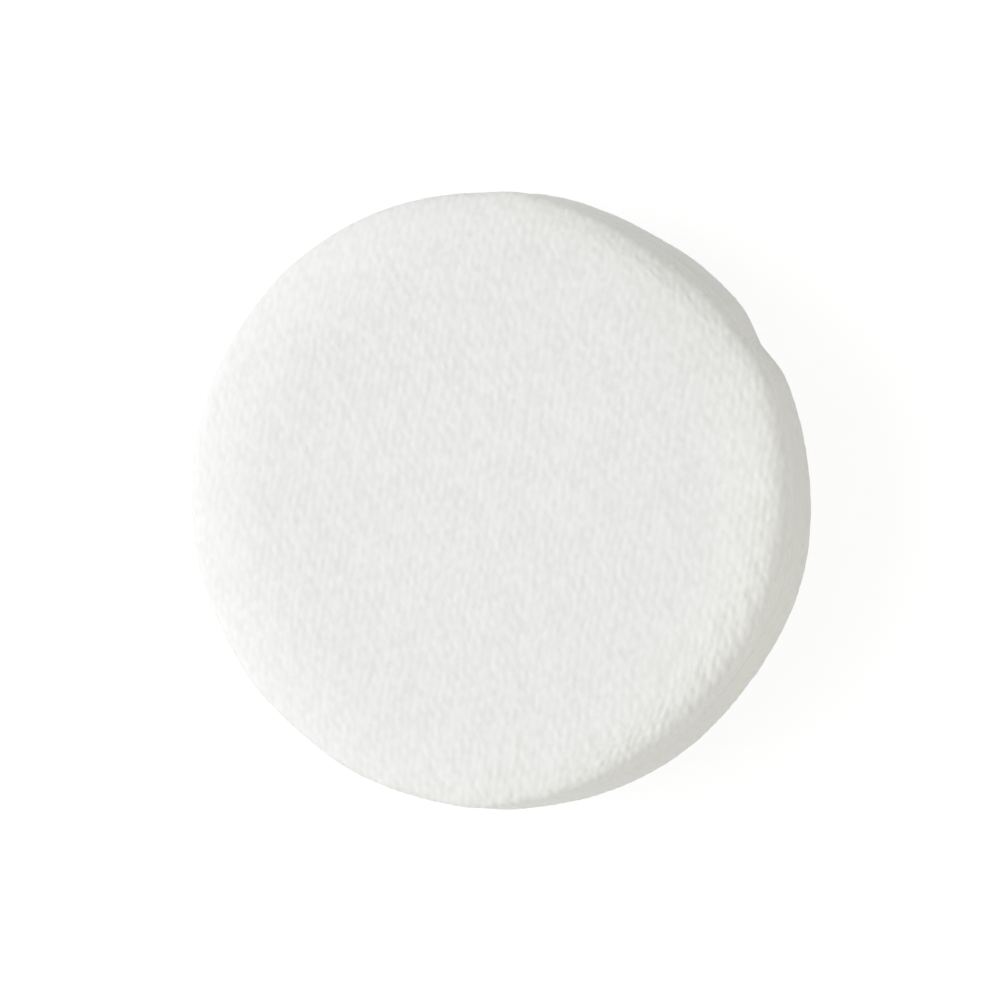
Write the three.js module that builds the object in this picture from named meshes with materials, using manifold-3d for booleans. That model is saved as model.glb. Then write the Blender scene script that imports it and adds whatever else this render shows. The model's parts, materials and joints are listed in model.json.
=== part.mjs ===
// A round velour powder puff. Two knitted pile covers are sewn edge to edge, turned right side
// out over a foam core and closed, and a satin finger ribbon runs under the back, with its ends
// caught in the seam. It lies on its ribbon, with the powder face up.
// Millimetres. +Z goes up through the powder face and X runs along the ribbon. The origin is on
// the surface that the puff lies on, under its centre.
import * as THREE from "three";
import { mergeVertices } from "three/addons/utils/BufferGeometryUtils.js";
import Module from "manifold-3d";

const wasm = await Module();
wasm.setup();

// Puff
const puffDiameter = 70;
const puffThickness = 14; // powder face to back, at the middle
const ringHeight = 4; // seam plane to the widest ring of each half
const crownPower = 5; // how late a face rolls over into its side: 2 is an ellipse
const seamInset = 1.8; // how far the seam is drawn in under the widest rings

// Velour, and its edge turned into the seam
const velourThickness = 1.8; // knitted ground and pile
const allowanceWidth = 4.5;
const allowanceThickness = 0.9; // the pile is crushed flat here

// Foam
const foamClearance = 0.3;
const grooveRoom = 0.8; // foam to allowance, above and below it, where the stitches lie

// Finger ribbon
const ribbonWidth = 10;
const ribbonThickness = 0.3;
const ribbonPlay = 0.1; // ribbon to allowance, on each side
const ribbonClearance = 0.3; // ribbon to the side of the puff
const ribbonTailInset = 0.2; // raw edge of the allowance to the ribbon's end
const fingerGap = 5.2; // back to ribbon, at the middle
const ribbonFlat = 28; // length of the stretch that lies flat

// Sewing thread
const threadDiameter = 0.3;
const threadClearance = 0.12;
const seamStitch = 3.8;
const seamMargin = 0.5; // seam stitches to the fold of the velour
const closingStitch = 3.2;
const closingLength = 32; // the opening that the puff was turned and filled through
const tackStitch = 2.4; // as many as fit across the ribbon
const tackSetback = 1.5; // seam stitches to the second row over each ribbon end
const threadTail = 1.1;

// How the sewn shape departs from a true circle
const ovalDepth = 0.4; // the most that a side stands out from the circle, or in
const ovalAngle = THREE.MathUtils.degToRad(124);
const ribbonPull = 1; // how far the ribbon draws the side in at each end
const pullFull = 3.2; // half the width over which it does so in full
const pullReach = 7; // half the width over which it does so at all
const pullOnFront = 0.4; // share of that pull which reaches the powder face
const pullStart = 24; // distance from the middle at which the pull begins

// Facets
const roundSegments = 48;
const ribbonStrips = 6;
const hangingSteps = 10;
const threadSides = 5;
const holeSides = 5;

// Worked out from the sizes above
const puffRadius = puffDiameter / 2;
const halfThickness = puffThickness / 2;
const creaseRadius = puffRadius - seamInset;
const allowanceGap = ribbonThickness + 2 * ribbonPlay;
const allowanceFace = allowanceGap / 2;
const allowanceBack = allowanceFace + allowanceThickness;
const allowanceEdge = creaseRadius - allowanceWidth;
const foldRadius = creaseRadius - (velourThickness + allowanceThickness) / 2;
const holeRadius = threadDiameter / 2 + threadClearance;
const stitchHeight = allowanceBack + threadClearance + threadDiameter / 2;
const seamRow = foldRadius - seamMargin;
const tackRow = seamRow - tackSetback;
const seamHeight = halfThickness + fingerGap + ribbonThickness;

const material = (color, roughness) =>
  new THREE.MeshStandardMaterial({ color, roughness, metalness: 0 });
const velour = material(0xeeeee9, 0.95);
const foam = material(0xf3efdf, 0.9);
const satin = material(0xf4f3ef, 0.45);
const thread = material(0xf1f0ea, 0.7);

// The roll of a face into its side. Each share of the radius gives a point, from the middle at 0
// to the widest ring at 1.
function faceRoll(radius, ring, crown, shares) {
  return shares.map((share) => {
    const height = ring + (crown - ring) * Math.sqrt(1 - share ** crownPower);
    return new THREE.Vector2(radius * share, height);
  });
}

// The turn of a side into the seam: a quarter ellipse from the widest ring, which it leaves out,
// down and in to the given end.
function sideTurn(ringRadius, ring, endRadius, end, steps) {
  return Array.from({ length: steps }, (_, i) => {
    const turn = ((i + 1) / steps) * (Math.PI / 2);
    return new THREE.Vector2(
      endRadius + (ringRadius - endRadius) * Math.cos(turn),
      ring - (ring - end) * Math.sin(turn),
    );
  });
}

// Turns a clockwise profile of (radius, height) round the Z axis.
function turned(profile) {
  return new THREE.LatheGeometry([...profile].reverse(), roundSegments).rotateX(Math.PI / 2);
}

// The same section on the other side of the seam plane.
const mirrored = (profile) =>
  profile.map((point) => new THREE.Vector2(point.x, -point.y)).reverse();

// Section of a cover: out over the face, round the side to the seam, in along the turned-in
// edge, and back along the inside of the velour.
function coverProfile() {
  const innerRadius = puffRadius - velourThickness;
  const innerCrown = halfThickness - velourThickness;
  const inside = [
    ...faceRoll(innerRadius, ringHeight, innerCrown, [0, 0.6, 0.9, 1]),
    ...sideTurn(innerRadius, ringHeight, foldRadius, allowanceBack, 2),
  ];
  return [
    ...faceRoll(puffRadius, ringHeight, halfThickness, [0, 0.3, 0.6, 0.78, 0.89, 0.955, 0.99, 1]),
    ...sideTurn(puffRadius, ringHeight, creaseRadius, allowanceFace, 3),
    new THREE.Vector2(allowanceEdge, allowanceFace),
    new THREE.Vector2(allowanceEdge, allowanceBack),
    ...inside.reverse(),
  ];
}

// Section of the foam. Its rim closes round the turned-in edges and the stitches on them.
function foamProfile() {
  const radius = puffRadius - velourThickness - foamClearance;
  const crown = halfThickness - velourThickness - foamClearance;
  const ring = ringHeight - foamClearance;
  const lip = allowanceBack + grooveRoom;
  const lipRadius = foldRadius - foamClearance / 2;
  const grooveCentre = allowanceEdge - foamClearance + lip / 2;
  const upperHalf = [
    ...faceRoll(radius, ring, crown, [0, 0.35, 0.65, 0.85, 0.95, 1]),
    ...sideTurn(radius, ring, lipRadius, lip, 2),
    new THREE.Vector2(grooveCentre, lip),
    new THREE.Vector2(grooveCentre - lip * Math.SQRT1_2, lip * Math.SQRT1_2),
  ];
  const grooveFloor = new THREE.Vector2(grooveCentre - lip, 0);
  return [...upperHalf, grooveFloor, ...mirrored(upperHalf)];
}

// Middle line of half the ribbon in the XZ plane: its end in the seam, the turn round the side
// of the back, the hanging stretch, and the flat stretch up to the middle.
function ribbonLine() {
  const outside = puffRadius + ribbonClearance + ribbonThickness / 2;
  const low = -(halfThickness + fingerGap + ribbonThickness / 2);
  const flatEnd = ribbonFlat / 2;
  const tail = new THREE.Vector2(allowanceEdge + ribbonTailInset, 0);
  const overTheSide = mirrored(sideTurn(outside, ringHeight, creaseRadius, 0, 6));
  const widest = new THREE.Vector2(outside, -ringHeight);
  const hanging = Array.from({ length: hangingSteps }, (_, i) => {
    const along = ((i + 1) / hangingSteps) * (Math.PI / 2);
    return new THREE.Vector2(
      flatEnd + (outside - flatEnd) * Math.cos(along),
      -ringHeight + (low + ringHeight) * Math.sin(along),
    );
  });
  return [tail, ...overTheSide, widest, ...hanging];
}

// A closed strip of the ribbon's thickness along a line in the XZ plane.
function stripOutline(line) {
  const edge = (side) =>
    line.map((point, i) => {
      const before = line[Math.max(i - 1, 0)];
      const after = line[Math.min(i + 1, line.length - 1)];
      const along = after.clone().sub(before).normalize();
      const across = new THREE.Vector2(-along.y, along.x);
      return point.clone().addScaledVector(across, (side * ribbonThickness) / 2);
    });
  return new THREE.Shape([...edge(1), ...edge(-1).reverse()]);
}

// Bends a flat ribbon round the puff where it runs over the side.
function wrapRoundSide(geometry) {
  const position = geometry.getAttribute("position");
  for (let i = 0; i < position.count; i++) {
    const x = position.getX(i);
    const y = position.getY(i);
    const share = THREE.MathUtils.smoothstep(Math.abs(x), pullStart, creaseRadius);
    position.setX(i, x - (Math.sign(x) * share * y * y) / (2 * puffRadius));
  }
  return geometry;
}

// Draws a point in by the ribbon's pull and out by the oval. Every piece gets the same, so
// neighbours keep their clearance.
function settled(x, y, z) {
  const radius = Math.hypot(x, y);
  const oval = (ovalDepth / puffRadius) * Math.cos(2 * (Math.atan2(y, x) - ovalAngle));
  const nearRibbon = 1 - THREE.MathUtils.smoothstep(Math.abs(y), pullFull, pullReach);
  const nearSide = THREE.MathUtils.smoothstep(Math.abs(x), pullStart, creaseRadius);
  const share = 1 - (1 - pullOnFront) * THREE.MathUtils.smoothstep(z, 0, ringHeight);
  const pull = ribbonPull * nearRibbon * nearSide * share;
  const scale = 1 + oval - (radius > 0 ? pull / radius : 0);
  return [x * scale, y * scale, z];
}

function settle(geometry) {
  const position = geometry.getAttribute("position");
  for (let i = 0; i < position.count; i++) {
    const point = settled(position.getX(i), position.getY(i), position.getZ(i));
    position.setXYZ(i, ...point);
  }
  geometry.computeVertexNormals();
  return geometry;
}

// A closed geometry as a solid that can be cut.
function solid(geometry) {
  const bare = geometry.clone();
  bare.deleteAttribute("normal");
  bare.deleteAttribute("uv");
  const merged = mergeVertices(bare, 1e-4);
  const corners = merged.index.array;
  const kept = [];
  for (let i = 0; i < corners.length; i += 3) {
    const [a, b, c] = corners.slice(i, i + 3);
    if (a !== b && b !== c && c !== a) kept.push(a, b, c);
  }
  const vertProperties = merged.getAttribute("position").array;
  const triVerts = new Uint32Array(kept);
  return new wasm.Manifold(new wasm.Mesh({ numProp: 3, vertProperties, triVerts }));
}

function geometryOf(cutSolid) {
  const mesh = cutSolid.getMesh();
  return new THREE.BufferGeometry()
    .setAttribute("position", new THREE.BufferAttribute(mesh.vertProperties, 3))
    .setIndex(new THREE.BufferAttribute(mesh.triVerts, 1));
}

// A row of running stitches on a circle round the puff, whose holes are a stitch apart and whose
// middle lies at an angle.
function stitchRow(radius, stitch, holes, middle) {
  const pitch = stitch / radius;
  const first = middle - (pitch * (holes - 1)) / 2;
  return { radius, angles: Array.from({ length: holes }, (_, i) => first + i * pitch) };
}

// The way the thread of a row goes, as (distance along the row, height): over one face of the
// seam, down through a hole, under the other face, and up through the next hole.
function stitchLine({ radius, angles }) {
  const corner = stitchHeight - allowanceBack;
  const line = [[angles[0] * radius - threadTail, stitchHeight]];
  angles.forEach((angle, i) => {
    const side = i % 2 ? -1 : 1;
    const along = angle * radius;
    line.push(
      [along - corner, side * stitchHeight],
      [along, side * allowanceBack],
      [along, -side * allowanceBack],
      [along + corner, -side * stitchHeight],
    );
  });
  const last = line[line.length - 1];
  line.push([angles[angles.length - 1] * radius + threadTail, last[1]]);
  return line;
}

// A thread as a tube along its row, with a ring of points at each bend.
function threadGeometry(row) {
  const line = stitchLine(row);
  const positions = [];
  const index = [];
  line.forEach(([along, height], i) => {
    const [beforeAlong, beforeHeight] = line[Math.max(i - 1, 0)];
    const [afterAlong, afterHeight] = line[Math.min(i + 1, line.length - 1)];
    const heading = Math.atan2(afterHeight - beforeHeight, afterAlong - beforeAlong);
    const angle = along / row.radius;
    for (let side = 0; side < threadSides; side++) {
      const turn = (side / threadSides) * 2 * Math.PI;
      const outward = (threadDiameter / 2) * Math.cos(turn);
      const upward = (threadDiameter / 2) * Math.sin(turn);
      const radius = row.radius + outward;
      const shift = (-Math.sin(heading) * upward) / row.radius;
      positions.push(
        radius * Math.cos(angle + shift),
        radius * Math.sin(angle + shift),
        height + Math.cos(heading) * upward,
      );
    }
  });
  for (let ring = 0; ring < line.length - 1; ring++) {
    for (let side = 0; side < threadSides; side++) {
      const next = (side + 1) % threadSides;
      const a = ring * threadSides + side;
      const b = ring * threadSides + next;
      index.push(a, b + threadSides, b, a, a + threadSides, b + threadSides);
    }
  }
  const end = (line.length - 1) * threadSides;
  for (let side = 1; side < threadSides - 1; side++) {
    index.push(0, side, side + 1, end, end + side + 1, end + side);
  }
  return new THREE.BufferGeometry()
    .setAttribute("position", new THREE.Float32BufferAttribute(positions, 3))
    .setIndex(index);
}

// The needle holes of some rows, as prisms that go right through the seam.
function needleHoles(rows) {
  const depth = 2 * stitchHeight + 2 * threadDiameter;
  const prisms = rows.flatMap(({ radius, angles }) =>
    angles.map((angle) => {
      const prism = new THREE.CylinderGeometry(holeRadius, holeRadius, depth, holeSides)
        .rotateX(Math.PI / 2)
        .translate(radius * Math.cos(angle), radius * Math.sin(angle), 0);
      return solid(prism);
    }),
  );
  return wasm.Manifold.union(prisms);
}

function ribbonGeometry() {
  const half = ribbonLine();
  const other = half.map((point) => new THREE.Vector2(-point.x, point.y)).reverse();
  const strip = new THREE.ExtrudeGeometry(stripOutline([...half, ...other]), {
    depth: ribbonWidth,
    steps: ribbonStrips,
    bevelEnabled: false,
  });
  strip.rotateX(Math.PI / 2).translate(0, ribbonWidth / 2, 0);
  return wrapRoundSide(strip);
}

function named(name, geometry, finish) {
  const mesh = new THREE.Mesh(settle(geometry), finish);
  mesh.name = name;
  return mesh;
}

const quarterTurn = Math.PI / 2;
const seamArc = 2 * Math.PI * seamRow - closingLength;
const closing = stitchRow(
  seamRow,
  closingStitch,
  Math.floor(closingLength / closingStitch),
  quarterTurn,
);
const seam = stitchRow(seamRow, seamStitch, Math.floor(seamArc / seamStitch), -quarterTurn);
const tackHoles = Math.floor(ribbonWidth / tackStitch);
const tacks = [0, Math.PI].map((middle) => stitchRow(tackRow, tackStitch, tackHoles, middle));
const holes = needleHoles([seam, closing, ...tacks]);

const puff = new THREE.Group();
puff.position.z = seamHeight;
const frontCover = solid(turned(coverProfile())).subtract(holes);
const backCover = solid(turned(mirrored(coverProfile()))).subtract(holes);
const ribbon = solid(ribbonGeometry()).subtract(holes);
puff.add(
  named("front_cover", geometryOf(frontCover), velour),
  named("back_cover", geometryOf(backCover), velour),
  named("foam_core", turned(foamProfile()), foam),
  named("finger_ribbon", geometryOf(ribbon), satin),
  named("seam_thread", threadGeometry(seam), thread),
  named("closing_thread", threadGeometry(closing), thread),
  named("ribbon_tack_right", threadGeometry(tacks[0]), thread),
  named("ribbon_tack_left", threadGeometry(tacks[1]), thread),
);

export default puff;
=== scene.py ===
"""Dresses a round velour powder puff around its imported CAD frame.

Two knitted pile covers are sewn edge to edge over a foam core, and a satin ribbon for the
fingers runs under the back. Sizes are in millimetres and match the solids. Meshes are written in
metres. X runs along the ribbon, and Z goes up through the powder face.
"""

from __future__ import annotations

import json
import logging
import math
from dataclasses import dataclass, field
from enum import Enum
from typing import Callable, Mapping, Sequence, Union

import bpy
import numpy as np
from mathutils import Matrix, Vector

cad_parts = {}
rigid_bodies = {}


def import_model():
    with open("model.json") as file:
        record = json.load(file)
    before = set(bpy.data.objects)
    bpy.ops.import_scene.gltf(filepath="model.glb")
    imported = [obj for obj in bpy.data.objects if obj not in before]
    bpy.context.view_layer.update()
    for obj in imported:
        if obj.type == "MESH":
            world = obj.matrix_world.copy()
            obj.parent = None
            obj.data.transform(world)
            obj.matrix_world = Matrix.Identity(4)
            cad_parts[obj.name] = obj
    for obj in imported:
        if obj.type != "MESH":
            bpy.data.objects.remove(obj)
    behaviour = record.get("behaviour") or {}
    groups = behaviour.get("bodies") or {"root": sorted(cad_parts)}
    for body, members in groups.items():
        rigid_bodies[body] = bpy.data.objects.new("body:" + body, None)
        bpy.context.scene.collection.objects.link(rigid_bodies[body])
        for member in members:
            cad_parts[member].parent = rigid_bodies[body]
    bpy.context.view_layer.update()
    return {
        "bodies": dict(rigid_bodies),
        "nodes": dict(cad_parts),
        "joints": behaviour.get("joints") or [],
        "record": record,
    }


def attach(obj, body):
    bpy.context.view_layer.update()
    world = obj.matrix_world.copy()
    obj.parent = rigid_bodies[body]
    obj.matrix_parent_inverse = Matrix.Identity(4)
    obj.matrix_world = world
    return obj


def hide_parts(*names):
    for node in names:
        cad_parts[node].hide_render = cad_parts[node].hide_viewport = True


LOG = logging.getLogger("powder_puff")
MM = 0.001
ROOT = "root"
UV_SPAN = 100.0  # millimetres of cloth across the whole of a UV map
SHEEN_TINT = (1.0, 1.0, 0.98, 1.0)

Colour = tuple[float, float, float, float]
Span = tuple[float, float]
Places = tuple[tuple[float, float, float], ...]
Settings = Mapping[str, object]
Array = np.ndarray
Piece = bpy.types.Object
Material = bpy.types.Material


class Side(Enum):
    """Half of the puff, as the sign of its height from the seam."""

    FRONT = 1
    BACK = -1


def configure(target: object, **settings: object) -> None:
    """Sets properties of one thing, in the order given."""
    for key, value in settings.items():
        setattr(target, key, value)


# Shader maths


class Field:
    """A node's output that takes part in arithmetic."""

    def __init__(self, shading: Shading, socket: bpy.types.NodeSocket) -> None:
        """Wraps an output of a node."""
        self.shading = shading
        self.socket = socket

    def _math(self, operation: str, *terms: Value) -> Field:
        """Adds one Math node."""
        return self.shading.node("ShaderNodeMath", {"operation": operation}, dict(enumerate(terms)))

    def __add__(self, other: Value) -> Field:
        """Adds."""
        return self._math("ADD", self, other)

    __radd__ = __add__

    def __sub__(self, other: Value) -> Field:
        """Takes away."""
        return self._math("SUBTRACT", self, other)

    def __rsub__(self, other: Value) -> Field:
        """Is taken away."""
        return self._math("SUBTRACT", other, self)

    def __mul__(self, other: Value) -> Field:
        """Multiplies."""
        return self._math("MULTIPLY", self, other)

    __rmul__ = __mul__

    def __truediv__(self, other: Value) -> Field:
        """Divides."""
        return self._math("DIVIDE", self, other)

    def __pow__(self, other: Value) -> Field:
        """Raises to a power."""
        return self._math("POWER", self, other)

    def mix(self, other: Field, share: Value) -> Field:
        """Mixes in a share of another field."""
        return self * (1.0 - share) + other * share

    def wave(self, period: float) -> Field:
        """Returns a cosine of this distance, from 0 to 1."""
        return self._math("COSINE", self * (math.tau / period)) * 0.5 + 0.5

    def floor(self) -> Field:
        """Rounds down."""
        return self._math("FLOOR", self)

    def size(self) -> Field:
        """Drops the sign."""
        return self._math("ABSOLUTE", self)

    def bearing(self, across: Field) -> Field:
        """Returns the angle, in radians, of a point this far up and `across` to the right."""
        return self._math("ARCTAN2", self, across)

    def ramp(self, low: float, high: float) -> Field:
        """Returns a smooth step, 0 at low and below, 1 at high and above."""
        inputs = {"Value": self, "From Min": low, "From Max": high}
        return self.shading.node("ShaderNodeMapRange", {"interpolation_type": "SMOOTHSTEP"}, inputs)


Value = Union[Field, float, Sequence[float]]
Inputs = Mapping[Union[str, int], Value]


class Shading:
    """A node tree under construction."""

    def __init__(self, tree: bpy.types.NodeTree) -> None:
        """Empties the tree."""
        self.tree = tree
        self.tree.nodes.clear()

    def add(
        self, kind: str, settings: Settings | None = None, inputs: Inputs | None = None
    ) -> bpy.types.Node:
        """Adds a node.

        Args:
            kind: the node's type.
            settings: what is set on the node before its sockets.
            inputs: the value or link of each socket that isn't left alone.

        Returns:
            The node.
        """
        made = self.tree.nodes.new(kind)
        configure(made, **(settings or {}))
        for key, value in (inputs or {}).items():
            if isinstance(value, Field):
                self.tree.links.new(value.socket, made.inputs[key])
            else:
                made.inputs[key].default_value = value
        return made

    def node(
        self,
        kind: str,
        settings: Settings | None = None,
        inputs: Inputs | None = None,
        output: Union[str, int] = 0,
    ) -> Field:
        """Adds a node, as `add` does, and returns the output that is wanted of it."""
        return Field(self, self.add(kind, settings, inputs).outputs[output])

    def end(self, kind: str, surface: Field) -> None:
        """Adds the tree's output node."""
        self.add(kind, inputs={"Surface": surface})

    def blend(self, amount: Value, low: Value, high: Value) -> Field:
        """Mixes two colours, with `amount` as the share of the second."""
        return self.node("ShaderNodeMix", {"data_type": "RGBA"}, {0: amount, 6: low, 7: high}, 2)

    def axes(self, vector: Field) -> tuple[Field, ...]:
        """Splits a vector into its three numbers."""
        outputs = self.add("ShaderNodeSeparateXYZ", inputs={"Vector": vector}).outputs
        return tuple(Field(self, outputs[axis]) for axis in "XYZ")

    def vector(self, x: Value, y: Value, z: Value = 0.0) -> Field:
        """Joins three numbers into a vector."""
        return self.node("ShaderNodeCombineXYZ", inputs={"X": x, "Y": y, "Z": z})

    def place(self) -> Field:
        """Returns the place on the object, in metres."""
        return self.node("ShaderNodeTexCoord", output="Object")

    def cloth(self) -> tuple[Field, Field]:
        """Returns the place on the flat cloth, in millimetres both ways."""
        across, along, _ = self.axes(self.node("ShaderNodeUVMap", {"uv_map": "cloth"}))
        return (across - 0.5) * UV_SPAN, (along - 0.5) * UV_SPAN

    def noise(self, place: Field, detail: float = 2.0) -> Field:
        """Returns fractal noise from 0 to 1, about one lump to a unit of place."""
        inputs = {"Vector": place, "Scale": 1.0, "Detail": detail, "Roughness": 0.55}
        return self.node("ShaderNodeTexNoise", {"noise_dimensions": "3D"}, inputs)

    def bump(self, height: Field, depth: float, strength: float) -> Field:
        """Turns a height from 0 to 1, with its real depth in millimetres, into a normal."""
        inputs = {"Strength": strength, "Distance": depth * MM, "Height": height}
        return self.node("ShaderNodeBump", inputs=inputs, output="Normal")


class Recipe(Shading):
    """A material under construction."""

    def __init__(self, name: str) -> None:
        """Starts an empty material.

        Args:
            name: its name.
        """
        self.material = bpy.data.materials.new(name)
        self.material.use_nodes = True
        super().__init__(self.material.node_tree)

    def finish(self, **sockets: Value) -> Material:
        """Adds the Principled shader.

        Args:
            **sockets: its sockets, with an underscore for each space.

        Returns:
            The finished material.
        """
        inputs = {name.replace("_", " "): value for name, value in sockets.items()}
        self.end("ShaderNodeOutputMaterial", self.node("ShaderNodeBsdfPrincipled", inputs=inputs))
        return self.material


# Finishes, with lengths in millimetres


@dataclass(frozen=True)
class Velour:
    """Short dense cut pile on a weft knit, with a painted highlight round the rim and painted shade at the
    roots.
    """

    tip: Colour = (0.841, 0.841, 0.845, 1.0)
    # The rim's lighter tip and root colours are a painted highlight, standing in for light at grazing
    # angles.
    rim_highlight_tip: Colour = (0.882, 0.881, 0.872, 1.0)
    # The darker, yellower root colour is painted shade in the pile's hollows.
    root: Colour = (0.755, 0.755, 0.74, 1.0)
    rim_highlight_root: Colour = (0.80, 0.80, 0.78, 1.0)
    # The painted highlight comes in over this radius, and the three fields below hold it back on one side.
    rim_highlight_radius: Span = (23.5, 33.5)
    highlight_cut_side: float = math.radians(242.0)
    highlight_cut_reach: Span = (14.0, 31.0)
    highlight_cut_share: float = 0.75
    lean: float = math.radians(62.0)
    fibre: Span = (0.09, 0.5)
    clump: Span = (0.42, 0.7)
    tuft_shade: float = 0.6
    fibre_shade: float = 0.25
    clump_shade: float = 0.15
    shade_range: Span = (0.15, 0.75)
    fibre_relief: float = 0.6
    clump_relief: float = 0.5
    relief: Span = (0.018, 0.8)

    def material(self) -> Material:
        """Builds the material.

        Returns:
            The material.
        """
        recipe = Recipe("velour")
        u, v = recipe.cloth()
        along = u * math.cos(self.lean) + v * math.sin(self.lean)
        across = v * math.cos(self.lean) - u * math.sin(self.lean)
        fibres = recipe.noise(recipe.vector(across / self.fibre[0], along / self.fibre[1]), 3.0)
        clumps = recipe.noise(recipe.vector(across / self.clump[0], along / self.clump[1]))
        height = recipe.node("ShaderNodeAttribute", {"attribute_name": "pile"}, output="Fac")
        # The colour runs from root to tip by tuft height, which is painted shade in the pile's hollows,
        # mixed with random tone from fibre and clump noise.
        shade = height * self.tuft_shade + fibres * self.fibre_shade + clumps * self.clump_shade
        x, y, _ = recipe.axes(recipe.place())
        # Lighter colours round the rim are a painted highlight, held back towards one side.
        from_middle = (x * x + y * y) ** 0.5 / MM
        toward_highlight_cut = (x * math.cos(self.highlight_cut_side) + y * math.sin(self.highlight_cut_side)) / MM
        highlight_cut = toward_highlight_cut.ramp(*self.highlight_cut_reach) * self.highlight_cut_share
        rim_highlight = from_middle.ramp(*self.rim_highlight_radius) * (1.0 - highlight_cut)
        root = recipe.blend(rim_highlight, self.root, self.rim_highlight_root)
        tip = recipe.blend(rim_highlight, self.tip, self.rim_highlight_tip)
        return recipe.finish(
            Base_Color=recipe.blend(shade.ramp(*self.shade_range), root, tip),
            Roughness=0.95,
            Specular_IOR_Level=0.15,
            Sheen_Weight=0.25,
            Sheen_Roughness=0.45,
            Sheen_Tint=SHEEN_TINT,
            Normal=recipe.bump(fibres * self.fibre_relief + clumps * self.clump_relief, *self.relief),
        )


@dataclass(frozen=True)
class Satin:
    """Double-faced satin ribbon with woven edges."""

    colour: Colour = (0.90, 0.895, 0.88, 1.0)
    shade: Colour = (0.81, 0.805, 0.78, 1.0)
    yarn: float = 0.11
    pick: float = 0.22
    edge: float = 0.7
    edge_blur: float = 0.05
    edge_floats: float = 0.2
    binding_shift: float = 2.4
    binding_picks: float = 5
    binding_power: float = 8.0
    binding_share: float = 0.3
    slub: Span = (6.0, 0.3)
    slub_share: float = 0.4
    tone_range: Span = (0.1, 0.8)
    relief: Span = (0.02, 0.7)

    def material(self, width: float) -> Material:
        """Builds the material.

        Args:
            width: the ribbon's width.

        Returns:
            The material.
        """
        recipe = Recipe("satin")
        along, across = recipe.cloth()
        edge = width / 2 - self.edge
        selvedge = across.size().ramp(edge - self.edge_blur, edge + self.edge_blur)
        floats = across.wave(self.yarn)
        shift = (across / self.yarn).floor() * (self.pick * self.binding_shift)
        binding = (along + shift).wave(self.pick * self.binding_picks) ** self.binding_power
        ribs = along.wave(self.pick * 2)
        body = floats.mix(1.0 - binding, self.binding_share)
        height = body.mix(ribs.mix(floats, self.edge_floats), selvedge)
        slubs = recipe.noise(recipe.vector(along / self.slub[0], across / self.slub[1]))
        tone = height.mix(slubs, self.slub_share)
        return recipe.finish(
            Base_Color=recipe.blend(tone.ramp(*self.tone_range), self.shade, self.colour),
            Roughness=0.34 + selvedge * 0.2 + slubs * 0.08,
            Specular_IOR_Level=0.45,
            Sheen_Weight=0.08,
            Normal=recipe.bump(height, *self.relief),
        )


@dataclass(frozen=True)
class Foam:
    """Open-cell foam with cut cells at its surface, the pores coloured darker as painted shade."""

    wall: Colour = (0.86, 0.82, 0.70, 1.0)
    # The cell colour is painted shade inside the pores.
    pore_shade: Colour = (0.55, 0.50, 0.38, 1.0)
    pore: float = 0.6
    cell_edge: Span = (0.06, 0.24)
    relief: Span = (0.25, 0.9)

    def material(self) -> Material:
        """Builds the material.

        Returns:
            The material.
        """
        recipe = Recipe("foam")
        scaling = {0: recipe.place(), 3: 1.0 / (self.pore * MM)}
        scaled = recipe.node("ShaderNodeVectorMath", {"operation": "SCALE"}, scaling)
        settings = {"feature": "DISTANCE_TO_EDGE"}
        inputs = {"Vector": scaled, "Scale": 1.0}
        walls = recipe.node("ShaderNodeTexVoronoi", settings, inputs, "Distance")
        # The pores are sunk by the bump and coloured darker as painted shade.
        pore_relief_and_shade = walls.ramp(*self.cell_edge)
        return recipe.finish(
            Base_Color=recipe.blend(pore_relief_and_shade, self.wall, self.pore_shade),
            Roughness=0.9,
            Specular_IOR_Level=0.2,
            Normal=recipe.bump(1.0 - pore_relief_and_shade, *self.relief),
        )


@dataclass(frozen=True)
class SewingThread:
    """Two-ply spun polyester thread, which runs round the puff at the radius `run`."""

    colour: Colour = (0.86, 0.86, 0.83, 1.0)
    shade: Colour = (0.66, 0.65, 0.60, 1.0)
    run: float = 32.5
    twist: float = 0.55
    ply: float = 0.5
    hair: Span = (0.2, 0.05)
    hair_share: float = 0.35
    tone_range: Span = (0.15, 0.75)
    relief: Span = (0.03, 0.7)

    def material(self) -> Material:
        """Builds the material.

        Returns:
            The material.
        """
        recipe = Recipe("thread")
        x, y, z = recipe.axes(recipe.place())
        along = y.bearing(x) * self.run
        plies = (along + z * (self.twist / self.ply / MM)).wave(self.twist)
        hairs = recipe.noise(recipe.vector(along / self.hair[0], z / (self.hair[1] * MM)), 3.0)
        tone = plies.mix(hairs, self.hair_share)
        return recipe.finish(
            Base_Color=recipe.blend(tone.ramp(*self.tone_range), self.shade, self.colour),
            Roughness=0.6,
            Specular_IOR_Level=0.35,
            Sheen_Weight=0.15,
            Normal=recipe.bump(tone, *self.relief),
        )


# Shape


def smooth_step(value: Array, low: float, high: float) -> Array:
    """Returns 0 at low and below, 1 at high and above, and a smooth turn between them."""
    share = np.clip((value - low) / (high - low), 0.0, 1.0)
    return share * share * (3.0 - 2.0 * share)


def polar(points: Array) -> tuple[Array, Array]:
    """Returns each point's distance from the Z axis, and its angle round it in radians."""
    return np.hypot(points[:, 0], points[:, 1]), np.arctan2(points[:, 1], points[:, 0])


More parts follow.
